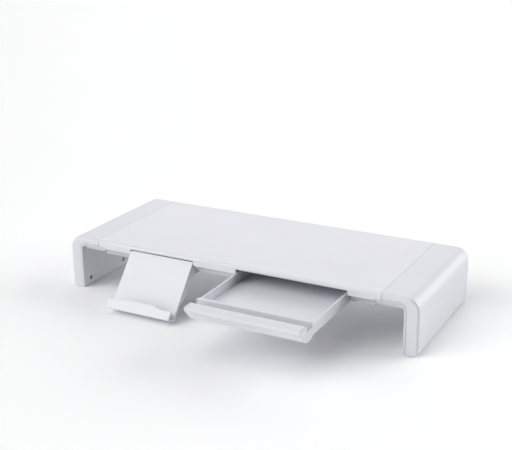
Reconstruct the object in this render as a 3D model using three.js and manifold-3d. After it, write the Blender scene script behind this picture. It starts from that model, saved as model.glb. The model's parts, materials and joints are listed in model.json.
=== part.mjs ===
// Foldable monitor riser stand: a thin platform on two fold-in legs, with a drawer and a phone holder.
// Millimetres, +X to the right, +Y to the rear, +Z up. While it is drawn, y = 0 is the fascia's front
// plane and z = 0 is the desk; the finished group is then centred over its own footprint.

import * as THREE from 'three';
import { mergeVertices } from 'three/addons/utils/BufferGeometryUtils.js';
import Module from 'manifold-3d';

const wasm = await Module();
wasm.setup();

// ---------------------------------------------------------------- driving dimensions

const WIDTH = 520;
const DEPTH = 205;
const HEIGHT = 76.4;
const GAP = 0.3;

const WALL = 2.4;
const FRONT_FILLET = 3;
const REAR_FILLET = 10;
const FASCIA_BOTTOM = 65;
const COVER_BOTTOM = 57;
const FRONT_RECESS = 5;
const REAR_RECESS = 2.8;

const SEAM_X = 211;
const BUTT_X = 202;
const OVERHANG_Z = 66.9;
const BEND_RADIUS = 18;
const INNER_BEND_RADIUS = 7;
const LEG_THICKNESS = 19.4;
const LEG_BOTTOM = 1;
const FOOT_RADIUS = 4.5;
const INNER_COVER = 3;
const FLANGE_BOTTOM = 59.9;
const FLANGE_RECESS = 4;

const HINGE_Z = 59.5;
const KNUCKLE_RADIUS = 3.9;
const KNUCKLE_RELIEF = 4.3;
const PIN_RADIUS = 1.5;
const BORE_RADIUS = 1.8;
const HINGE_STATIONS = { front: 14, rear: 155 };
const HINGE_LENGTH = 36;
const END_KNUCKLE = 8;

const SCREW_HEAD_RADIUS = 2.8;
const SCREW_SHANK_RADIUS = 1.3;
const HEAD_HEIGHT = 1.6;
const COVER_SCREW_LENGTH = 11;
const FOOT_SCREW_LENGTH = 11;
const FLANGE_SCREW_LENGTH = 9;
const CUP_RADIUS = 4.6;
const CUP_BORE = 3.2;
const CLEARANCE_BORE = 1.7;
const PILOT_BORE = 1.6;
const BOSS_RADIUS = 3.4;

const DRAWER = { left: 10, right: 165, bottom: 51.5, top: 67, front: -96.2, rear: 69.5 };
const EARS_X = [14.8, 155.8];
const DRAWER_OPENING = { left: 8.6, right: 166.4, top: 71.3 };
const HANDLE = { left: 9.4, right: 165.6, front: -128 };
const PAN = { left: 4, right: 171.2, bottom: 47, front: 31, rear: 201 };

const HOLDER_X = -106.75;
const HOLDER_HALF = 49.75;
const HOLDER_SLOT = { left: -156.8, right: -56.1, top: 71.5 };
const BAY = { left: -160.75, right: -52.75, bottom: 45, rear: 144 };
const TONGUE = { front: 40.5, rear: 68.5, bottom: 47, top: 53 };
const PIVOT = { y: -5.8, z: 50 };
const PLATE_TILT = THREE.MathUtils.degToRad(50);
const PLATE_SURFACE = 7.2;
const PLATE_THICKNESS = 3.6;
const PLATE_REAR = 20;
const PLATE_FRONT = -68;
const LIP_DEPTH = 12.6;
const LIP_HEIGHT = 13;
const TAB_HEIGHT = 16.4;
const SIDE_INSET = 1;
const SIDE_WIDTH = 3;
const PIVOT_REACH = HOLDER_HALF - SIDE_INSET - 0.8;

const RUBBER_PAD = { inner: 245.2, outer: 254.8, length: 36, height: 2 };

// ---------------------------------------------------------------- materials

const plastic = (color, roughness) => new THREE.MeshStandardMaterial({ color, roughness, metalness: 0 });
const shellPlastic = plastic(0xe9eaee, 0.42);
const innerPlastic = plastic(0xdcdee2, 0.5);
const mechanismPlastic = plastic(0xc9ccd1, 0.55);
const rubber = plastic(0x3a3b3e, 0.85);
const steel = new THREE.MeshStandardMaterial({ color: 0xa9adb3, roughness: 0.35, metalness: 1 });

// ---------------------------------------------------------------- outlines and solids

// Corners are [x, y] or [x, y, radius]; a radius turns the corner into an arc.
function outline(corners, segments = 5) {
  const points = [];
  corners.forEach(([x, y, radius = 0], index) => {
    const corner = new THREE.Vector2(x, y);
    if (radius === 0) {
      points.push(corner);
      return;
    }
    const [beforeX, beforeY] = corners.at(index - 1);
    const [afterX, afterY] = corners[(index + 1) % corners.length];
    const before = new THREE.Vector2(beforeX, beforeY).sub(corner).normalize();
    const after = new THREE.Vector2(afterX, afterY).sub(corner).normalize();
    const half = Math.acos(THREE.MathUtils.clamp(before.dot(after), -1, 1)) / 2;
    const middle = before.clone().add(after).normalize();
    const centre = middle.multiplyScalar(radius / Math.sin(half)).add(corner);
    const start = before.clone().multiplyScalar(radius / Math.tan(half)).add(corner).sub(centre);
    const end = after.clone().multiplyScalar(radius / Math.tan(half)).add(corner).sub(centre);
    const sweep = Math.atan2(start.cross(end), start.dot(end));
    for (let step = 0; step <= segments; step += 1) {
      points.push(start.clone().rotateAround(new THREE.Vector2(), (sweep * step) / segments).add(centre));
    }
  });
  return points;
}

// Coordinates are rounded to a fine grid, so faces meant to lie in one plane do so exactly.
const GRID_PER_MM = 1e4;
const snapped = (value) => Math.round(value * GRID_PER_MM) / GRID_PER_MM;

function toSolid(geometry) {
  const bare = geometry.clone();
  bare.deleteAttribute('normal');
  bare.deleteAttribute('uv');
  const merged = mergeVertices(bare, 1 / GRID_PER_MM);
  return new wasm.Manifold(new wasm.Mesh({
    numProp: 3,
    vertProperties: Float32Array.from(merged.attributes.position.array, snapped),
    triVerts: new Uint32Array(merged.index.array),
  }));
}

function toGeometry(solid) {
  const { vertProperties, triVerts } = solid.getMesh();
  const geometry = new THREE.BufferGeometry();
  geometry.setAttribute('position', new THREE.BufferAttribute(new Float32Array(vertProperties), 3));
  geometry.setIndex(new THREE.BufferAttribute(new Uint32Array(triVerts), 1));
  geometry.computeVertexNormals();
  return geometry;
}

function extrude(points, depth) {
  return new THREE.ExtrudeGeometry(new THREE.Shape(points), { depth, bevelEnabled: false, steps: 1 });
}

const ALONG_X = new THREE.Matrix4().makeBasis(
  new THREE.Vector3(0, 1, 0), new THREE.Vector3(0, 0, 1), new THREE.Vector3(1, 0, 0));
const ALONG_Y = new THREE.Matrix4().makeBasis(
  new THREE.Vector3(1, 0, 0), new THREE.Vector3(0, 0, 1), new THREE.Vector3(0, -1, 0));

// An (y, z) outline carried from x0 to x1, and an (x, z) outline carried from y0 to y1.
const prismX = (points, x0, x1) => (
  toSolid(extrude(points, x1 - x0).applyMatrix4(ALONG_X).translate(x0, 0, 0)));
const prismY = (points, y0, y1) => (
  toSolid(extrude(points, y1 - y0).applyMatrix4(ALONG_Y).translate(0, y1, 0)));

function box([x0, x1], [y0, y1], [z0, z1]) {
  const geometry = new THREE.BoxGeometry(x1 - x0, y1 - y0, z1 - z0);
  return toSolid(geometry.translate((x0 + x1) / 2, (y0 + y1) / 2, (z0 + z1) / 2));
}

function rodX([x0, x1], y, z, radius, sides = 16) {
  const geometry = new THREE.CylinderGeometry(radius, radius, x1 - x0, sides).rotateZ(Math.PI / 2);
  return toSolid(geometry.translate((x0 + x1) / 2, y, z));
}

function rodY(x, [y0, y1], z, radius, sides = 16) {
  const geometry = new THREE.CylinderGeometry(radius, radius, y1 - y0, sides);
  return toSolid(geometry.translate(x, (y0 + y1) / 2, z));
}

function rodZ(x, y, [z0, z1], radius, sides = 16) {
  const geometry = new THREE.CylinderGeometry(radius, radius, z1 - z0, sides).rotateX(Math.PI / 2);
  return toSolid(geometry.translate(x, y, (z0 + z1) / 2));
}

// A joined piece sinks this far into its neighbour, and a cutting tool runs this far past the face it cuts.
const SUNK = 0.5;
const PAST = 5;

const join = (...solids) => solids.reduce((whole, next) => whole.add(next));
const cut = (solid, ...tools) => tools.reduce((rest, tool) => rest.subtract(tool), solid);

// ---------------------------------------------------------------- screws and their seats

// A pan-head screw whose head starts at `start` and whose shank points along +axis.
function screw(rod, start, length) {
  return join(
    rod([start, start + HEAD_HEIGHT], SCREW_HEAD_RADIUS, 12),
    rod([start + HEAD_HEIGHT - 0.1, start + length], SCREW_SHANK_RADIUS, 8));
}

const screwZ = (x, y, start, length) => (
  screw((span, radius, sides) => rodZ(x, y, span, radius, sides), start, length));
const screwX = (y, z, start, length) => (
  screw((span, radius, sides) => rodX(span, y, z, radius, sides), start, length));

// The cup lets the head in from `face` and stops it on a shoulder, so the head starts `SEAT` past the face.
const CUP_DEPTH = 5;
const SHOULDER = 1.6;
const SEAT = CUP_DEPTH - SHOULDER - HEAD_HEIGHT - GAP;
const cupBodyZ = (x, y, face) => rodZ(x, y, [face + SUNK, face + CUP_DEPTH], CUP_RADIUS);
const cupBoreZ = (x, y, face) => join(
  rodZ(x, y, [face - PAST, face + CUP_DEPTH - SHOULDER], CUP_BORE, 12),
  rodZ(x, y, [face - PAST, face + CUP_DEPTH + PAST], CLEARANCE_BORE, 8));
const cupBodyX = (y, z, face) => rodX([face + SUNK, face + CUP_DEPTH], y, z, CUP_RADIUS);
const cupBoreX = (y, z, face) => join(
  rodX([face - PAST, face + CUP_DEPTH - SHOULDER], y, z, CUP_BORE, 12),
  rodX([face - PAST, face + CUP_DEPTH + PAST], y, z, CLEARANCE_BORE, 8));

// ---------------------------------------------------------------- platform

const TRAY_TOP = 66.5;
const SKIN = 2;

const COVER_SCREWS = [
  [-186, 104], [186, 104], [-180, 12], [180, 12], [-180, 192], [180, 192], [-24, 18], [-24, 188],
];
const RIB_BOTTOM = 70;
const CROSS_RIBS_Y = [45, 100, 150];
const LONG_RIBS_X = [-170, -40, -10, 87.5, 173];
const RIB_HALF = 0.7;
const STOP = { width: 5, thickness: 2.5, bottom: 68 };

function topShell() {
  const inside = HEIGHT - WALL;
  const outer = outline([
    [0, FASCIA_BOTTOM], [DEPTH, FASCIA_BOTTOM], [DEPTH, HEIGHT, REAR_FILLET], [0, HEIGHT, FRONT_FILLET],
  ], 6);
  const hollow = outline([
    [WALL, FASCIA_BOTTOM - PAST], [DEPTH - WALL, FASCIA_BOTTOM - PAST],
    [DEPTH - WALL, inside, REAR_FILLET - WALL], [WALL, inside, FRONT_FILLET - WALL],
  ], 6);
  const end = SEAM_X - GAP / 2;
  let shell = cut(prismX(outer, -end, end), prismX(hollow, WALL - end, end - WALL));
  const ribs = [
    ...CROSS_RIBS_Y.map((y) => (
      box([1 - end, end - 1], [y - RIB_HALF, y + RIB_HALF], [RIB_BOTTOM, inside + SUNK]))),
    ...LONG_RIBS_X.map((x) => (
      box([x - RIB_HALF, x + RIB_HALF], [1, DEPTH - 6], [RIB_BOTTOM + 0.6, inside + SUNK]))),
  ];
  const bosses = COVER_SCREWS.map(([x, y]) => (
    rodZ(x, y, [COVER_BOTTOM + CUP_DEPTH + GAP, inside + SUNK], BOSS_RADIUS)));
  const stopRear = DRAWER.rear - 2.5;
  const stops = EARS_X.map((x) => box(
    [x - GAP, x - GAP + STOP.width], [stopRear - STOP.thickness, stopRear], [STOP.bottom, inside + SUNK]));
  shell = join(shell, ...ribs, ...bosses, ...stops);
  const notches = [[-WIDTH, -BUTT_X], [BUTT_X, WIDTH]].map((span) => (
    box(span, [-PAST, DEPTH + PAST], [COVER_BOTTOM - PAST, OVERHANG_Z])));
  const slots = [HOLDER_SLOT, DRAWER_OPENING].map(({ left, right, top }) => (
    box([left, right], [-PAST, WALL + 1], [COVER_BOTTOM - PAST, top])));
  const pilots = COVER_SCREWS.map(([x, y]) => (
    rodZ(x, y, [COVER_BOTTOM - PAST, inside - 1], PILOT_BORE, 8)));
  return cut(shell, ...notches, ...slots, ...pilots);
}

const KNUCKLE_PLAY = 0.4;

// Knuckle spans along y at one hinge station: the two ends belong to the platform, the middle to the leg.
function knuckles(start) {
  const end = start + HINGE_LENGTH;
  return {
    outer: [[start, start + END_KNUCKLE], [end - END_KNUCKLE, end]],
    inner: [start + END_KNUCKLE + KNUCKLE_PLAY, end - END_KNUCKLE - KNUCKLE_PLAY],
  };
}

const stations = Object.values(HINGE_STATIONS).map(knuckles);
const widened = ([low, high]) => [low - KNUCKLE_PLAY, high + KNUCKLE_PLAY];
const hingeBores = (x) => Object.values(HINGE_STATIONS).map((start) => (
  rodY(x, [start - 0.2, start + HINGE_LENGTH + 0.2], HINGE_Z, BORE_RADIUS, 12)));

// The pan hangs under the drawer and the open bay frames the holder; both walls slope up towards the front.
function bottomCover() {
  const end = BUTT_X - GAP;
  const front = FRONT_RECESS;
  const rear = DEPTH - REAR_RECESS;
  const wallTop = TRAY_TOP - SUNK;
  const over = TRAY_TOP + PAST;
  const flat = COVER_BOTTOM + 1;
  const tray = cut(
    box([-end, end], [front, rear], [COVER_BOTTOM, TRAY_TOP]),
    box([SKIN - end, end - SKIN], [front + SKIN, rear - SKIN], [COVER_BOTTOM + SKIN, over]));
  const hingeBlocks = stations.flatMap(({ outer }) => outer.flatMap(([y0, y1]) => (
    [-1, 1].map((side) => join(
      box([side * (end - 5.5), side * (end - SUNK)].sort((a, b) => a - b), [y0, y1],
        [COVER_BOTTOM + SUNK, wallTop]),
      rodY(side * BUTT_X, [y0, y1], HINGE_Z, KNUCKLE_RADIUS))))));
  const corners = (pairs) => pairs.map(([a, b]) => new THREE.Vector2(a, b));
  const flank = (pairs) => prismY(corners(pairs), 9, PAN.rear - 1);
  const pan = [
    box([PAN.left, PAN.right], [8, PAN.rear], [PAN.bottom, wallTop]),
    flank([[PAN.right - 1, 50], [PAN.right + 9, flat], [PAN.right - 1, flat]]),
    flank([[PAN.left + 1, 50], [PAN.left + 1, flat], [PAN.left - 9, flat]]),
  ];
  const bay = box([BAY.left - SKIN, BAY.right + SKIN], [10, BAY.rear + SKIN], [BAY.bottom, wallTop]);
  const leadIns = [
    prismX(corners([[7, 46], [33, 46], [7, 55]]), PAN.left - 12, PAN.right + 12),
    prismX(corners([[9, 44], [41, 44], [9, 56.9]]), BAY.left - 3, BAY.right + 3),
  ];
  const openings = [
    box([PAN.left + SKIN, PAN.right - SKIN], [front - 1, PAN.rear - SKIN], [PAN.bottom + SKIN, over]),
    box([PAN.left + SKIN, PAN.right - SKIN], [front - 1, PAN.front], [PAN.bottom - 1, over]),
    box([BAY.left, BAY.right], [front - 1, BAY.rear], [BAY.bottom - 1, over]),
  ];
  const reliefs = stations.flatMap(({ inner }) => (
    [-1, 1].map((side) => rodY(side * BUTT_X, widened(inner), HINGE_Z, KNUCKLE_RELIEF))));
  const cups = COVER_SCREWS.map(([x, y]) => cupBodyZ(x, y, COVER_BOTTOM));
  const cupBores = COVER_SCREWS.map(([x, y]) => cupBoreZ(x, y, COVER_BOTTOM));
  return cut(join(tray, ...pan, bay, ...cups), ...openings, ...leadIns, ...reliefs)
    .add(join(...hingeBlocks))
    .subtract(join(...hingeBores(-BUTT_X), ...hingeBores(BUTT_X), ...cupBores));
}

// A C-shaped channel open towards +x (side 1) or -x (side -1), outside face at x.
function runner(x, side, [y0, y1], [z0, z1], { web, lowerFlange, upperFlange, skin }) {
  const span = (width) => [x, x + side * width].sort((a, b) => a - b);
  return join(
    box(span(web), [y0, y1], [z0, z1]),
    box(span(lowerFlange), [y0, y1], [z0, z0 + skin]),
    box(span(upperFlange), [y0, y1], [z1 - skin, z1]));
}

const drawerRunner = (x, side) => runner(
  x, side, [PAN.front + 4, PAN.rear - 5], [PAN.bottom + SKIN + GAP, 69.1],
  { web: 3.2, lowerFlange: 10.7, upperFlange: 6.7, skin: 1.8 });
const holderRunner = (x, side) => runner(
  x, side, [TONGUE.front - 0.5, BAY.rear - 0.5], [BAY.bottom + GAP, 55.1],
  { web: 1.4, lowerFlange: 3, upperFlange: 3, skin: 1.4 });

// ---------------------------------------------------------------- legs (drawn for the right side)

const FOOT_SCREWS_Y = [16, 96, 189];
const FOOT_SCREW_Z = 10;
const FLANGE_SCREWS_Y = [32, 173];
const FLANGE_SCREW_X = 228;
const FLANGE_SCREW_FACE = FLANGE_BOTTOM + 1.2;
const FOOT_WALL = 3;
const legFace = WIDTH / 2 - LEG_THICKNESS;
const coverFace = legFace + INNER_COVER;

// A long bar that follows the leg's outer bend at a given inset and takes away what lies past a rounded edge.
function edgeRounder(edgeY, inward, radius, inset) {
  const outerX = WIDTH / 2;
  const centre = new THREE.Vector2(outerX - BEND_RADIUS, HEIGHT - BEND_RADIUS);
  const stationsAlong = [{ point: new THREE.Vector2(SEAM_X - 10, HEIGHT), angle: Math.PI / 2 }];
  const steps = 8;
  for (let step = 0; step <= steps; step += 1) {
    const angle = (Math.PI / 2) * (1 - step / steps);
    const outwards = new THREE.Vector2(Math.cos(angle), Math.sin(angle));
    const point = outwards.multiplyScalar(BEND_RADIUS).add(centre);
    stationsAlong.push({ point, angle });
  }
  stationsAlong.push({ point: new THREE.Vector2(outerX, -10), angle: 0 });

  const section = [new THREE.Vector2(edgeY - inward * 2, inset - 2)];
  section.push(new THREE.Vector2(edgeY - inward * 2, inset + radius));
  const arcSteps = 6;
  for (let step = 0; step <= arcSteps; step += 1) {
    const turn = (Math.PI / 2) * (step / arcSteps);
    section.push(new THREE.Vector2(
      edgeY + inward * radius * (1 - Math.cos(turn)), inset + radius * (1 - Math.sin(turn))));
  }
  section.push(new THREE.Vector2(edgeY + inward * radius, inset - 2));

  const positions = stationsAlong.flatMap(({ point, angle }) => section.flatMap(({ x: y, y: depth }) => (
    [point.x - Math.cos(angle) * depth, y, point.y - Math.sin(angle) * depth])));
  const count = section.length;
  const faces = [];
  for (let ring = 0; ring < stationsAlong.length - 1; ring += 1) {
    for (let index = 0; index < count; index += 1) {
      const a = ring * count + index;
      const b = ring * count + ((index + 1) % count);
      faces.push([a, b, b + count], [a, b + count, a + count]);
    }
  }
  const last = (stationsAlong.length - 1) * count;
  THREE.ShapeUtils.triangulateShape(section, []).forEach(([a, b, c]) => {
    const clockwise = THREE.ShapeUtils.isClockWise([section[a], section[b], section[c]]);
    const matches = clockwise === THREE.ShapeUtils.isClockWise(section);
    const [p, q, r] = matches ? [a, b, c] : [a, c, b];
    faces.push([p, r, q], [last + p, last + q, last + r]);
  });
  const outward = THREE.ShapeUtils.isClockWise(section) ? faces : faces.map(([a, b, c]) => [a, c, b]);
  const geometry = new THREE.BufferGeometry();
  geometry.setAttribute('position', new THREE.Float32BufferAttribute(positions, 3));
  geometry.setIndex(outward.flat());
  return toSolid(geometry);
}

function legShell() {
  const outerX = WIDTH / 2;
  const seam = SEAM_X + GAP / 2;
  const innerX = coverFace + GAP;
  const innerZ = FASCIA_BOTTOM + INNER_COVER + GAP;
  const block = prismY(outline([
    [seam, innerZ], [innerX, innerZ, INNER_BEND_RADIUS + INNER_COVER], [innerX, LEG_BOTTOM],
    [outerX, LEG_BOTTOM, FOOT_RADIUS], [outerX, HEIGHT, BEND_RADIUS], [seam, HEIGHT],
  ], 8), 0, DEPTH);
  const floor = LEG_BOTTOM + FOOT_WALL;
  const roof = HEIGHT - WALL;
  const hollow = prismY(outline([
    [seam + WALL, FASCIA_BOTTOM - PAST], [innerX - PAST, FASCIA_BOTTOM - PAST], [innerX - PAST, floor],
    [outerX - WALL, floor], [outerX - WALL, roof, BEND_RADIUS - WALL], [seam + WALL, roof],
  ], 8), WALL, DEPTH - WALL);
  const roundedHollow = cut(hollow, edgeRounder(DEPTH - WALL, -1, REAR_FILLET - WALL, WALL));
  const bosses = [
    ...FOOT_SCREWS_Y.map((y) => (
      rodX([legFace + CUP_DEPTH + GAP, outerX - WALL + SUNK], y, FOOT_SCREW_Z, BOSS_RADIUS))),
    ...FLANGE_SCREWS_Y.map((y) => rodZ(FLANGE_SCREW_X, y, [innerZ, roof + SUNK], BOSS_RADIUS)),
  ];
  const pilots = [
    ...FOOT_SCREWS_Y.map((y) => rodX([legFace, outerX - WALL - SUNK], y, FOOT_SCREW_Z, PILOT_BORE, 8)),
    ...FLANGE_SCREWS_Y.map((y) => (
      rodZ(FLANGE_SCREW_X, y, [FLANGE_BOTTOM, roof - SUNK], PILOT_BORE, 8))),
  ];
  const padSeats = padSpans.map(([y0, y1]) => box(
    [RUBBER_PAD.inner - GAP, RUBBER_PAD.outer + GAP], [y0 - GAP, y1 + GAP], [0, RUBBER_PAD.height + GAP]));
  const skin = cut(block, roundedHollow,
    edgeRounder(DEPTH, -1, REAR_FILLET, 0), edgeRounder(0, 1, FRONT_FILLET, 0));
  return cut(join(skin, ...bosses), ...pilots, ...padSeats);
}

const padSpans = [8, DEPTH - 8 - RUBBER_PAD.length].map((y) => [y, y + RUBBER_PAD.length]);

function legInnerCover() {
  const left = BUTT_X + GAP;
  const underOverhang = OVERHANG_Z - GAP;
  const rimTop = FASCIA_BOTTOM + INNER_COVER;
  const rim = prismY(outline([
    [left, FASCIA_BOTTOM], [legFace, FASCIA_BOTTOM, INNER_BEND_RADIUS], [legFace, LEG_BOTTOM],
    [coverFace, LEG_BOTTOM], [coverFace, rimTop, INNER_BEND_RADIUS + INNER_COVER],
    [SEAM_X + 1, rimTop], [SEAM_X + 1, underOverhang], [left, underOverhang],
  ], 6), 0, DEPTH);
  const flange = prismY(outline([
    [left, FLANGE_BOTTOM], [legFace + SUNK, FLANGE_BOTTOM, 4], [legFace + SUNK, FLANGE_BOTTOM - 6],
    [legFace + 2, FLANGE_BOTTOM - 6], [legFace + 2, FASCIA_BOTTOM + 1], [left, FASCIA_BOTTOM + 1],
  ], 5), FLANGE_RECESS, DEPTH - FLANGE_RECESS);
  const legKnuckles = stations.map(({ inner }) => rodY(BUTT_X, inner, HINGE_Z, KNUCKLE_RADIUS));
  const reliefs = stations.flatMap(({ outer }) => outer.map((span) => (
    rodY(BUTT_X, widened(span), HINGE_Z, KNUCKLE_RELIEF))));
  return cut(
    join(rim, flange, ...FOOT_SCREWS_Y.map((y) => cupBodyX(y, FOOT_SCREW_Z, legFace))),
    ...reliefs,
  ).add(join(...legKnuckles)).subtract(join(
    ...hingeBores(BUTT_X),
    ...FOOT_SCREWS_Y.map((y) => cupBoreX(y, FOOT_SCREW_Z, legFace)),
    ...FLANGE_SCREWS_Y.map((y) => cupBoreZ(FLANGE_SCREW_X, y, FLANGE_SCREW_FACE)),
  ));
}

const footPad = (span) => box([RUBBER_PAD.inner, RUBBER_PAD.outer], span, [0, RUBBER_PAD.height]);

// Pieces drawn for the right side, seen in a mirror for the left one.
function mirrored(geometry) {
  const copy = geometry.clone().scale(-1, 1, 1);
  const { array } = copy.index;
  for (let index = 0; index < array.length; index += 3) {
    [array[index], array[index + 1]] = [array[index + 1], array[index]];
  }
  copy.computeVertexNormals();
  return copy;
}

// ---------------------------------------------------------------- drawer

const CLIPS_X = [38, 87.5, 137];
const CLIP_Z = [58.5, 61.5];
const CLIP_HALF = 6;
const CLIP_PLAY = 0.4;
const CAP = 1.6;
const EAR = { width: 4.4, top: 69.4 };
const FRONT_WALL = 2.6;
const RIM = 1.5;

function drawerTray() {
  const { left, right, bottom, top, front, rear } = DRAWER;
  const wall = 2.2;
  const body = box([left, right], [front, rear], [bottom, top]);
  const frontWall = box([left, right], [front, front + FRONT_WALL], [bottom, top + RIM]);
  const inside = box(
    [left + wall, right - wall], [front + FRONT_WALL, rear - wall], [bottom + SKIN, top + PAST]);
  const ears = EARS_X.map((x) => box([x, x + EAR.width], [rear - wall, rear], [top - 1, EAR.top]));
  const slots = CLIPS_X.map((x) => box(
    [x - CLIP_HALF - CLIP_PLAY, x + CLIP_HALF + CLIP_PLAY], [front - 1, front + 4],
    [CLIP_Z[0] - CLIP_PLAY, CLIP_Z[1] + CLIP_PLAY]));
  return cut(join(cut(join(body, frontWall), inside), ...ears), ...slots);
}

function drawerFront() {
  const upright = DRAWER.front - GAP;
  const profile = outline([
    [upright, DRAWER.top + RIM], [upright - 2.3, DRAWER.top + RIM], [upright - 2.3, 57.6, 1.2],
    [-112.2, 57.6, 1.2], [-113, 69.5, 1], [HANDLE.front, 68.5, 1.6], [HANDLE.front, 63.5, 1],
    [-114, 49, 2], [-105, 48], [upright, 50.4],
  ], 3);
  const { left, right } = HANDLE;
  const caps = [[left, left + CAP], [right - CAP, right]].map((span) => (
    box(span, [-114, upright - 1], [55, 61.5])));
  const hookRear = DRAWER.front + 3.6;
  const hooks = CLIPS_X.map((x) => join(
    box([x - CLIP_HALF, x + CLIP_HALF], [upright - 1, hookRear], CLIP_Z),
    box([x - CLIP_HALF, x + CLIP_HALF], [hookRear - 0.7, hookRear], [CLIP_Z[0], CLIP_Z[1] + 1])));
  return join(prismX(profile, left, right), ...caps, ...hooks);
}

// ---------------------------------------------------------------- phone holder

const armOuter = HOLDER_HALF - SIDE_INSET - SIDE_WIDTH - 0.6;
const armWidth = 2.5;
const armEnd = PIVOT.y - 3.2;
const ARM_TRIM = 0.2;
const bothSides = (make) => [-1, 1].map((side) => make(
  (near, far) => [HOLDER_X + side * near, HOLDER_X + side * far].sort((a, b) => a - b)));

function holderCarriage() {
  const { front, rear, bottom, top } = TONGUE;
  const barRear = front + 10;
  const arms = bothSides((span) => prismX(outline([
    [armEnd, bottom + ARM_TRIM, 2.7], [barRear, bottom + ARM_TRIM],
    [barRear, top - ARM_TRIM], [armEnd, top - ARM_TRIM, 2.7],
  ], 5), ...span(armOuter - armWidth, armOuter)));
  const tongues = bothSides((span) => box(span(armOuter - armWidth, 52), [front, rear], [bottom, top]));
  const bar = box([HOLDER_X - 51, HOLDER_X + 51], [front, barRear], [bottom, top]);
  const pivotBore = rodX([HOLDER_X - HOLDER_HALF, HOLDER_X + HOLDER_HALF], PIVOT.y, PIVOT.z, BORE_RADIUS, 12);
  return cut(join(bar, ...arms, ...tongues), pivotBore);
}

const pivotPin = (span) => rodX(span, PIVOT.y, PIVOT.z, PIN_RADIUS, 12);
const [pivotLeft, pivotRight] = bothSides((span) => span(armOuter - armWidth - 0.2, PIVOT_REACH - GAP));

// Drawn level with the pivot at y = 0, z = 0.
function phonePlate() {
  const top = PLATE_SURFACE;
  const under = top - PLATE_THICKNESS;
  const lipTop = top + LIP_DEPTH;
  const hook = (height) => outline([
    [PLATE_REAR, top], [PLATE_FRONT + 5.2, top, 1.2], [PLATE_FRONT + 2.4, lipTop - 2.2, 1.2],
    [PLATE_FRONT + height, lipTop - 2.2], [PLATE_FRONT + height, lipTop],
    [PLATE_FRONT, lipTop, 1.6], [PLATE_FRONT + 4, under, 1.6], [PLATE_REAR, under],
  ], 4);
  const body = prismX(hook(LIP_HEIGHT), HOLDER_X - HOLDER_HALF, HOLDER_X + HOLDER_HALF);
  const tabHalf = [31.5, 27.5, 23.5];
  const tabStep = (TAB_HEIGHT - LIP_HEIGHT) / tabHalf.length;
  const tabs = tabHalf.map((half, index) => (
    prismX(hook(LIP_HEIGHT + (index + 1) * tabStep), HOLDER_X - half, HOLDER_X + half)));
  const sideOutline = outline([
    [PLATE_REAR, top - 1], [PLATE_REAR, -6, 2], [8, -10.4, 3], [-27, -5, 8], [-46, under + 1], [-46, top - 1],
  ], 3);
  const sides = bothSides((span) => prismX(sideOutline, ...span(
    HOLDER_HALF - SIDE_INSET - SIDE_WIDTH, HOLDER_HALF - SIDE_INSET)));
  const ribs = [-32, -16].map((y) => box(
    [HOLDER_X - HOLDER_HALF + 3, HOLDER_X + HOLDER_HALF - 3], [y - 0.75, y + 0.75], [0, under + 0.5]));
  return cut(join(body, ...tabs, ...sides, ...ribs),
    rodX([HOLDER_X - PIVOT_REACH, HOLDER_X + PIVOT_REACH], 0, 0, BORE_RADIUS, 12));
}

// ---------------------------------------------------------------- the assembly

const stand = new THREE.Group();
const place = (name, geometry, material, parent = stand) => {
  const mesh = new THREE.Mesh(geometry, material);
  mesh.name = name;
  parent.add(mesh);
  return mesh;
};
const add = (name, solid, material, parent) => place(name, toGeometry(solid), material, parent);

add('top_shell', topShell(), shellPlastic);
add('bottom_cover', bottomCover(), innerPlastic);
add('drawer_runner_left', drawerRunner(PAN.left + 2 + GAP, 1), mechanismPlastic);
add('drawer_runner_right', drawerRunner(PAN.right - 2 - GAP, -1), mechanismPlastic);
add('holder_runner_left', holderRunner(BAY.left + GAP, 1), mechanismPlastic);
add('holder_runner_right', holderRunner(BAY.right - GAP, -1), mechanismPlastic);
COVER_SCREWS.forEach(([x, y], index) => {
  add(`cover_screw_${index + 1}`, screwZ(x, y, COVER_BOTTOM + SEAT, COVER_SCREW_LENGTH), steel);
});

const legPieces = {
  leg_shell: [legShell(), shellPlastic],
  leg_inner_cover: [legInnerCover(), innerPlastic],
  foot_pad_front: [footPad(padSpans[0]), rubber],
  foot_pad_rear: [footPad(padSpans[1]), rubber],
};
FOOT_SCREWS_Y.forEach((y, index) => {
  legPieces[`foot_screw_${index + 1}`] = [
    screwX(y, FOOT_SCREW_Z, legFace + SEAT, FOOT_SCREW_LENGTH), steel];
});
FLANGE_SCREWS_Y.forEach((y, index) => {
  legPieces[`flange_screw_${index + 1}`] = [
    screwZ(FLANGE_SCREW_X, y, FLANGE_SCREW_FACE + SEAT, FLANGE_SCREW_LENGTH), steel];
});
Object.entries(HINGE_STATIONS).forEach(([station, start]) => {
  const pin = rodY(BUTT_X, [start, start + HINGE_LENGTH], HINGE_Z, PIN_RADIUS, 12);
  legPieces[`hinge_pin_${station}`] = [pin, steel];
});
Object.entries(legPieces).forEach(([name, [solid, material]]) => {
  const geometry = toGeometry(solid);
  place(`right_${name}`, geometry, material);
  place(`left_${name}`, mirrored(geometry), material);
});

add('drawer_tray', drawerTray(), shellPlastic);
add('drawer_front', drawerFront(), shellPlastic);

add('holder_carriage', holderCarriage(), mechanismPlastic);
add('pivot_pin_left', pivotPin(pivotLeft), steel);
add('pivot_pin_right', pivotPin(pivotRight), steel);
const tilted = new THREE.Group();
tilted.position.set(0, PIVOT.y, PIVOT.z);
tilted.rotation.x = PLATE_TILT;
stand.add(tilted);
add('phone_plate', phonePlate(), shellPlastic, tilted);

stand.position.y = -(DEPTH + HANDLE.front) / 2;

export default stand;
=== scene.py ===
"""Looks for the foldable monitor riser stand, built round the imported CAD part."""

import json
import math

import bmesh
import bpy
from mathutils import Matrix, Vector


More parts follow.
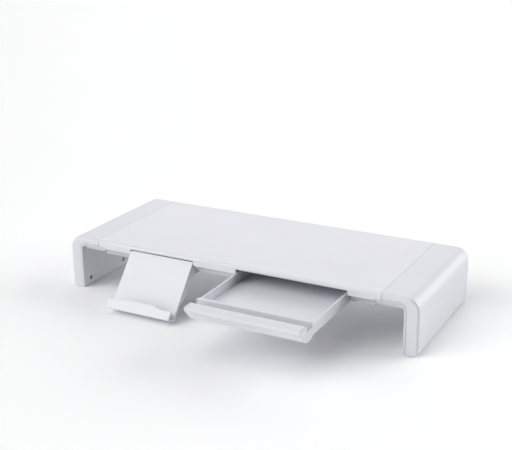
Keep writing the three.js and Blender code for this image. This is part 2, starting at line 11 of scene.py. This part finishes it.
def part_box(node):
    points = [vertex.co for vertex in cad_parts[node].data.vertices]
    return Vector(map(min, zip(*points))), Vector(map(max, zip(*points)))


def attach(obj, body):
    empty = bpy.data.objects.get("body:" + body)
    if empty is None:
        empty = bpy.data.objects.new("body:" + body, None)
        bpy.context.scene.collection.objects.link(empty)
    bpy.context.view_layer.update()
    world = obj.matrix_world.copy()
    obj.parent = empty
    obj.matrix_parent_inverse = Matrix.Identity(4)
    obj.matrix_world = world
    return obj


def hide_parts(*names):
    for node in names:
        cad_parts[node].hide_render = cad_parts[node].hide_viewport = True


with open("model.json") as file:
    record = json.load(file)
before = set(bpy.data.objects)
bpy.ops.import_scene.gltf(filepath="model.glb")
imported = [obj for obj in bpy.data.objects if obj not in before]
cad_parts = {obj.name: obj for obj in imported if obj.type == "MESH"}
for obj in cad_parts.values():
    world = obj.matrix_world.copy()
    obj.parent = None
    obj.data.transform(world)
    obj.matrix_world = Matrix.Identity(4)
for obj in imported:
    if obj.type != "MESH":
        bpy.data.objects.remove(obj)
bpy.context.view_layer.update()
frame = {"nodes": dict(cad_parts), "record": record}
MM = 0.001

# ---------------------------------------------------------------- camera

LENS = 70.80
SENSOR = 36.0
CAMERA_PLACE = (0.613318, -1.096771, 0.554989)
AZIMUTH, ELEVATION, ROLL = 28.4513, 19.1303, -0.7190


def make_camera():
    data = bpy.data.cameras.new("camera")
    data.lens, data.sensor_width = LENS, SENSOR
    data.clip_start, data.clip_end = 0.05, 50
    camera = bpy.data.objects.new("camera", data)
    bpy.context.scene.collection.objects.link(camera)
    turn = Matrix.Rotation(math.radians(AZIMUTH), 4, "Z")
    tip = Matrix.Rotation(math.radians(90 - ELEVATION), 4, "X")
    roll = Matrix.Rotation(math.radians(ROLL), 4, "Z")
    camera.matrix_world = Matrix.Translation(CAMERA_PLACE) @ turn @ tip @ roll
    bpy.context.scene.camera = camera


make_camera()

# ---------------------------------------------------------------- node material helpers


def new_material(name, colour, roughness, metallic=0.0):
    material = bpy.data.materials.new(name)
    material.use_nodes = True
    shader = material.node_tree.nodes["Principled BSDF"]
    shader.inputs["Base Color"].default_value = (*colour, 1)
    shader.inputs["Roughness"].default_value = roughness
    shader.inputs["Metallic"].default_value = metallic
    material.diffuse_color = (*colour, 1)
    return material, material.node_tree, shader


def noise(tree, scale, detail=3.0, stretch=(1, 1, 1)):
    """Noise in the object's own coordinates, scale in features per metre."""
    place = tree.nodes.new("ShaderNodeTexCoord")
    mapping = tree.nodes.new("ShaderNodeMapping")
    mapping.inputs["Scale"].default_value = stretch
    texture = tree.nodes.new("ShaderNodeTexNoise")
    texture.inputs["Scale"].default_value = scale
    texture.inputs["Detail"].default_value = detail
    tree.links.new(place.outputs["Object"], mapping.inputs["Vector"])
    tree.links.new(mapping.outputs["Vector"], texture.inputs["Vector"])
    return texture.outputs["Fac"]


def spread(tree, factor, low, high):
    ramp = tree.nodes.new("ShaderNodeMapRange")
    ramp.inputs["From Min"].default_value = 0.3
    ramp.inputs["From Max"].default_value = 0.7
    ramp.inputs["To Min"].default_value = low
    ramp.inputs["To Max"].default_value = high
    tree.links.new(factor, ramp.inputs["Value"])
    return ramp.outputs["Result"]


def tint(tree, factor, first, second):
    mix = tree.nodes.new("ShaderNodeMix")
    mix.data_type = "RGBA"
    mix.inputs["A"].default_value = (*first, 1)
    mix.inputs["B"].default_value = (*second, 1)
    tree.links.new(factor, mix.inputs["Factor"])
    return mix.outputs["Result"]


def bump(tree, shader, height, distance, strength=1.0):
    node = tree.nodes.new("ShaderNodeBump")
    node.inputs["Strength"].default_value = strength
    node.inputs["Distance"].default_value = distance
    tree.links.new(height, node.inputs["Height"])
    tree.links.new(node.outputs["Normal"], shader.inputs["Normal"])


def moulded_plastic(name, colour, roughness, grain, grain_depth, shift=0.02):
    """Injection-moulded plastic: a spark-eroded grain, faint flow shading and uneven gloss."""
    material, tree, shader = new_material(name, colour, roughness)
    flow = noise(tree, 9.0, 2.0, (1, 2.5, 1))
    darker = tuple(c * (1 - shift) for c in colour)
    tree.links.new(tint(tree, spread(tree, flow, 0, 1), darker, colour), shader.inputs["Base Color"])
    handled = noise(tree, 55.0, 4.0)
    tree.links.new(spread(tree, handled, roughness - 0.03, roughness + 0.04), shader.inputs["Roughness"])
    bump(tree, shader, noise(tree, grain, 2.0), grain_depth)
    shader.inputs["IOR"].default_value = 1.49
    return material


materials = {
    "shell_plastic": moulded_plastic("satin_white_plastic", (0.70, 0.702, 0.75), 0.31, 2600, 0.00002),
    "inner_plastic": moulded_plastic("matte_white_plastic", (0.62, 0.622, 0.66), 0.46, 1800, 0.00003),
    "mechanism_plastic": moulded_plastic("grey_mechanism_plastic", (0.5, 0.51, 0.54), 0.5, 1500, 0.00003),
    "foot_rubber": moulded_plastic("dark_rubber", (0.035, 0.035, 0.038), 0.8, 1200, 0.00008, 0.3),
}


# The legs, drawer front and bottom cover are parts apart from the top; they get darker copies of the white
# plastics as painted shade.
materials["leg_painted_shade"] = moulded_plastic(
    "satin_white_leg_plastic_painted_shade", (0.67, 0.672, 0.718), 0.31, 2600, 0.00002)
materials["cover_painted_shade"] = moulded_plastic(
    "matte_white_cover_plastic_painted_shade", (0.53, 0.532, 0.566), 0.46, 1800, 0.00003)
materials["front_painted_shade"] = moulded_plastic(
    "satin_white_front_plastic_painted_shade", (0.665, 0.667, 0.712), 0.31, 2600, 0.00002)
painted_shade_of = {
    "left_leg_shell": "leg_painted_shade",
    "right_leg_shell": "leg_painted_shade",
    "bottom_cover": "cover_painted_shade",
    "drawer_front": "front_painted_shade",
}


def zinc_steel():
    material, tree, shader = new_material("zinc_steel", (0.56, 0.57, 0.59), 0.32, 1.0)
    patches = noise(tree, 700, 3.0)
    cloudy = tint(tree, spread(tree, patches, 0, 1), (0.5, 0.51, 0.53), (0.62, 0.62, 0.63))
    tree.links.new(cloudy, shader.inputs["Base Color"])
    tree.links.new(spread(tree, noise(tree, 1500, 2.0), 0.25, 0.42), shader.inputs["Roughness"])
    return material


materials["fastener_steel"] = zinc_steel()

# ---------------------------------------------------------------- pieces


WELD = 0.002 * MM
FLAT = math.radians(0.6)
SHARP = math.radians(35)
WIDEST_ROUNDING = 1.0


def cleaned_copy(node):
    """A CAD node's mesh with doubled points joined and the triangles of each flat face merged."""
    shape = bmesh.new()
    shape.from_mesh(frame["nodes"][node].data)
    bmesh.ops.remove_doubles(shape, verts=shape.verts, dist=WELD)
    bmesh.ops.dissolve_limit(shape, angle_limit=FLAT, verts=shape.verts, edges=shape.edges)
    return shape


def weigh_edges(shape, radius_at):
    """Give each sharp edge its share of the widest rounding; an edge with no rounding stays crisp."""
    layer = shape.edges.layers.float.new("bevel_weight_edge")
    for edge in shape.edges:
        if len(edge.link_faces) == 2 and edge.calc_face_angle() > SHARP:
            middle = (edge.verts[0].co + edge.verts[1].co) / 2 / MM
            edge[layer] = radius_at(middle) / WIDEST_ROUNDING
            edge.smooth = edge[layer] > 0


def add_piece(name, shape, nodes, body, slot, radius_at, segments=3):
    """Place a mesh as a piece; radius_at(middle) is the rounding of a sharp edge, in millimetres."""
    weigh_edges(shape, radius_at)
    # Some nodes take a darker copy of their plastic, painted shade, in place of their slot's material.
    material_key = next((painted_shade_of[node] for node in nodes if node in painted_shade_of), slot)
    mesh = bpy.data.meshes.new(name)
    shape.to_mesh(mesh)
    shape.free()
    mesh.shade_smooth()
    mesh.materials.clear()
    mesh.materials.append(materials[material_key])
    piece = bpy.data.objects.new(name, mesh)
    bpy.context.scene.collection.objects.link(piece)
    rounding = piece.modifiers.new("rounded_edges", "BEVEL")
    rounding.limit_method = "WEIGHT"
    rounding.width = WIDEST_ROUNDING * MM
    rounding.segments = segments
    rounding.use_clamp_overlap = False
    piece.modifiers.new("flat_faces", "WEIGHTED_NORMAL").keep_sharp = True
    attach(piece, body)
    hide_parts(*nodes)


def everywhere(radius):
    return lambda middle: radius


slot_of = {part["node"]: part["material_slot"] for part in frame["record"]["subparts"]}
body_of = {node: body for body, nodes in frame["record"]["behaviour"]["bodies"].items() for node in nodes}


def finished(node, radius_at, segments=3):
    """The CAD node's own shape with rounded edges."""
    add_piece(f"{node}_body", cleaned_copy(node), [node], body_of[node], slot_of[node], radius_at, segments)


def platform_pieces():
    finished("top_shell", everywhere(0.3))
    finished("bottom_cover", everywhere(0.25))
    for node in ("drawer_runner_left", "drawer_runner_right", "holder_runner_left", "holder_runner_right"):
        finished(node, everywhere(0.25))


def leg_pieces(side):
    finished(f"{side}_leg_shell", everywhere(0.2))
    finished(f"{side}_leg_inner_cover", everywhere(0.2))
    for end in ("front", "rear"):
        finished(f"{side}_foot_pad_{end}", everywhere(0.5))


CUT_SLACK = 1e-7
CAP_WIDTH, CAP_GAP = 1.6, 0.35
SEAM_HEIGHT, SEAM_HALF, SEAM_DEPTH, SEAM_REACH = 14.6, 0.3, 0.7, 4
RIM_BAND, RIM_ROUNDING = 3, 0.8


def split_at(shape, height, axis):
    """Cut the mesh across one axis at a height in millimetres, and return the points on the cut."""
    normal = Vector([1 if index == axis else 0 for index in range(3)])
    parts = shape.verts[:] + shape.edges[:] + shape.faces[:]
    made = bmesh.ops.bisect_plane(
        shape, geom=parts, dist=CUT_SLACK, plane_co=normal * (height * MM), plane_no=normal)
    return [item for item in made["geom_cut"] if isinstance(item, bmesh.types.BMVert)]


def slit(shape, near, far):
    """Part the mesh across x with a narrow gap and close both faces of the gap."""
    for place in (near, far):
        split_at(shape, place, 0)
    start, end = near * MM - CUT_SLACK, far * MM + CUT_SLACK
    inside = [face for face in shape.faces if all(start < point.co.x < end for point in face.verts)]
    bmesh.ops.delete(shape, geom=inside, context="FACES")
    rims = [edge for edge in shape.edges if edge.is_boundary]
    bmesh.ops.holes_fill(shape, edges=rims, sides=0)


def drawer_front_piece():
    """The front with its end caps parted from the bar and the mould's seam along the grip."""
    low, high = ([value / MM for value in corner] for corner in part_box("drawer_front"))
    shape = cleaned_copy("drawer_front")
    seam = low[2] + SEAM_HEIGHT
    for level in (seam - SEAM_HALF, seam + SEAM_HALF):
        split_at(shape, level, 2)
    for point in split_at(shape, seam, 2):
        if point.co.y / MM < low[1] + SEAM_REACH:
            point.co.y += SEAM_DEPTH * MM
    slit(shape, low[0] + CAP_WIDTH, low[0] + CAP_WIDTH + CAP_GAP)
    slit(shape, high[0] - CAP_WIDTH - CAP_GAP, high[0] - CAP_WIDTH)

    def radius_at(middle):
        on_seam = middle.y < low[1] + SEAM_REACH and abs(middle.z - seam) < SEAM_HALF + 0.1
        return 0 if on_seam else 0.35

    add_piece("drawer_front_body", shape, ["drawer_front"], "drawer", "shell_plastic", radius_at)


def drawer_pieces():
    tray_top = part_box("drawer_tray")[1][2] / MM
    finished("drawer_tray", lambda middle: RIM_ROUNDING if middle.z > tray_top - RIM_BAND else 0.4)
    drawer_front_piece()


def holder_pieces():
    finished("holder_carriage", everywhere(0.4))
    finished("phone_plate", everywhere(0.35))


HEAD_SIDES, SHANK_SIDES = 20, 12
HEAD_HEIGHT, SHANK_RADIUS, THREAD_ROOT, THREAD_STEP, TIP = 1.6, 1.25, 0.95, 0.6, 1.6
DOME = ((0, 0.62), (0.12, 0.8), (0.32, 0.93), (0.6, 1))
RECESS_REACH, RECESS_HALF, RECESS_DEPTH, RECESS_TAPER = 1.5, 0.36, 1.0, 0.55
TIP_RADIUS = 0.2
SHANK_SUNK = 0.1
OWN_TURN = math.radians(137.5)


def ring(shape, along, radius, sides):
    turns = (2 * math.pi * step / sides for step in range(sides))
    return [shape.verts.new((radius * math.cos(turn), radius * math.sin(turn), along)) for turn in turns]


def cross(shape, along, scale):
    """A cross-shaped loop of twelve points whose arms lie along x and y."""
    far, near = RECESS_REACH * scale, RECESS_HALF * scale
    arm = ((far, -near), (far, near), (near, near))
    points = []
    for cosine, sine in ((1, 0), (0, 1), (-1, 0), (0, -1)):
        points += [(x * cosine - y * sine, x * sine + y * cosine) for x, y in arm]
    return [shape.verts.new((x, y, along)) for x, y in points]


def skin(shape, loops):
    """Join each loop of points to the next one."""
    for first, second in zip(loops, loops[1:]):
        for step in range(len(first)):
            after = (step + 1) % len(first)
            shape.faces.new((first[step], first[after], second[after], second[step]))


def screw_shape(length, head_radius):
    """A pan-head screw with a cross recess, in millimetres, driven from z = 0 along +z."""
    shape = bmesh.new()
    profile = (*DOME, (HEAD_HEIGHT, 1))
    head = [ring(shape, along, share * head_radius, HEAD_SIDES) for along, share in profile]
    recess = [cross(shape, 0, 1), cross(shape, RECESS_DEPTH, RECESS_TAPER)]
    skin(shape, head)
    skin(shape, recess)
    shape.faces.new(head[-1])
    shape.faces.new(recess[-1])
    rims = [
        shape.edges.get((loop[step - 1], loop[step]))
        for loop in (head[0], recess[0])
        for step in range(len(loop))
    ]
    bmesh.ops.triangle_fill(shape, edges=rims, use_beauty=True)
    turns = round((length - HEAD_HEIGHT - TIP) / THREAD_STEP)
    thread = [ring(shape, HEAD_HEIGHT - SHANK_SUNK, THREAD_ROOT, SHANK_SIDES)]
    for turn in range(turns):
        along = HEAD_HEIGHT + THREAD_STEP * (turn + 0.5)
        thread.append(ring(shape, along, SHANK_RADIUS if turn % 2 == 0 else THREAD_ROOT, SHANK_SIDES))
    thread.append(ring(shape, length, TIP_RADIUS, SHANK_SIDES))
    skin(shape, thread)
    shape.faces.new(thread[0])
    shape.faces.new(thread[-1])
    bmesh.ops.recalc_face_normals(shape, faces=shape.faces)
    return shape


def lay_screw(node, index):
    """Model a screw inside its CAD node's box; heads face down under covers and inward in the legs."""
    low, high = (Vector(corner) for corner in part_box(node))
    size, middle = high - low, (low + high) / 2
    upright = size.z > size.x
    shape = screw_shape((size.z if upright else size.x) / MM, size.y / 2 / MM)
    own_turn = Matrix.Rotation(OWN_TURN * index, 4, "Z")
    if upright:
        place = Matrix.Translation((middle.x, middle.y, low.z))
    else:
        outward = math.copysign(1, middle.x)
        start = low.x if outward > 0 else high.x
        lie_down = Matrix.Rotation(outward * math.pi / 2, 4, "Y")
        place = Matrix.Translation((start, middle.y, middle.z)) @ lie_down
    bmesh.ops.transform(shape, matrix=place @ Matrix.Scale(MM, 4) @ own_turn, verts=shape.verts)
    add_piece(f"{node}_body", shape, [node], body_of[node], slot_of[node], everywhere(0))


def steel_pieces():
    for index, node in enumerate(slot_of):
        if "screw" in node:
            lay_screw(node, index)
        elif slot_of[node] == "fastener_steel":
            finished(node, everywhere(0.2), segments=2)


platform_pieces()
for side in ("left", "right"):
    leg_pieces(side)
drawer_pieces()
holder_pieces()
steel_pieces()

# ---------------------------------------------------------------- floor, light and picture


def make_floor():
    """A pale floor that is clear from underneath and lets the glow of the table through."""
    mesh = bpy.data.meshes.new("floor")
    shape = bmesh.new()
    bmesh.ops.create_grid(shape, x_segments=2, y_segments=2, size=40)
    shape.to_mesh(mesh)
    shape.free()
    material, tree, shader = new_material("studio_floor", (0.97, 0.972, 0.98), 0.6)
    side = tree.nodes.new("ShaderNodeNewGeometry")
    clear = tree.nodes.new("ShaderNodeBsdfTransparent")
    choice = tree.nodes.new("ShaderNodeMixShader")
    path = tree.nodes.new("ShaderNodeLightPath")
    either = tree.nodes.new("ShaderNodeMath")
    either.operation = "MAXIMUM"
    tree.links.new(side.outputs["Backfacing"], either.inputs[0])
    tree.links.new(path.outputs["Is Shadow Ray"], either.inputs[1])
    tree.links.new(either.outputs["Value"], choice.inputs["Fac"])
    tree.links.new(shader.outputs["BSDF"], choice.inputs[1])
    tree.links.new(clear.outputs["BSDF"], choice.inputs[2])
    tree.links.new(choice.outputs["Shader"], tree.nodes["Material Output"].inputs["Surface"])
    mesh.materials.append(material)
    floor = bpy.data.objects.new("floor", mesh)
    bpy.context.scene.collection.objects.link(floor)


def softbox(name, azimuth, elevation, strength, spread_angle=55):
    """A large soft source far away; azimuth 0 is the object's right and 90 its back."""
    data = bpy.data.lights.new(name, "SUN")
    data.energy = strength
    data.angle = math.radians(spread_angle)
    light = bpy.data.objects.new(name, data)
    bpy.context.scene.collection.objects.link(light)
    turn, rise = math.radians(azimuth), math.radians(elevation)
    towards = Vector((math.cos(turn) * math.cos(rise), math.sin(turn) * math.cos(rise), math.sin(rise)))
    light.location = towards * 3
    light.rotation_mode = "QUATERNION"
    light.rotation_quaternion = (-towards).to_track_quat("-Z", "Y")


make_floor()
softbox("front_left_softbox", -135, 18, 1.78)
softbox("front_left_top_softbox", -130, 48, 1.15)
softbox("back_right_softbox", 45, 18, 2.35)
softbox("back_softbox", 105, 18, 0.8)
softbox("overhead_softbox", 90, 85, 0.76)
softbox("table_glow", -100, -72, 0.3)


def make_world():
    """A pale backdrop all round that adds almost no light of its own."""
    world = bpy.data.worlds.new("studio")
    world.use_nodes = True
    tree = world.node_tree
    ambient = tree.nodes["Background"]
    ambient.inputs["Color"].default_value = (1, 1, 1, 1)
    ambient.inputs["Strength"].default_value = 0.03
    backdrop = tree.nodes.new("ShaderNodeBackground")
    backdrop.inputs["Color"].default_value = (0.97, 0.975, 0.985, 1)
    path = tree.nodes.new("ShaderNodeLightPath")
    choice = tree.nodes.new("ShaderNodeMixShader")
    tree.links.new(path.outputs["Is Camera Ray"], choice.inputs["Fac"])
    tree.links.new(ambient.outputs["Background"], choice.inputs[1])
    tree.links.new(backdrop.outputs["Background"], choice.inputs[2])
    tree.links.new(choice.outputs["Shader"], tree.nodes["World Output"].inputs["Surface"])
    return world


scene = bpy.context.scene
scene.world = make_world()
scene.view_settings.view_transform = "Standard"
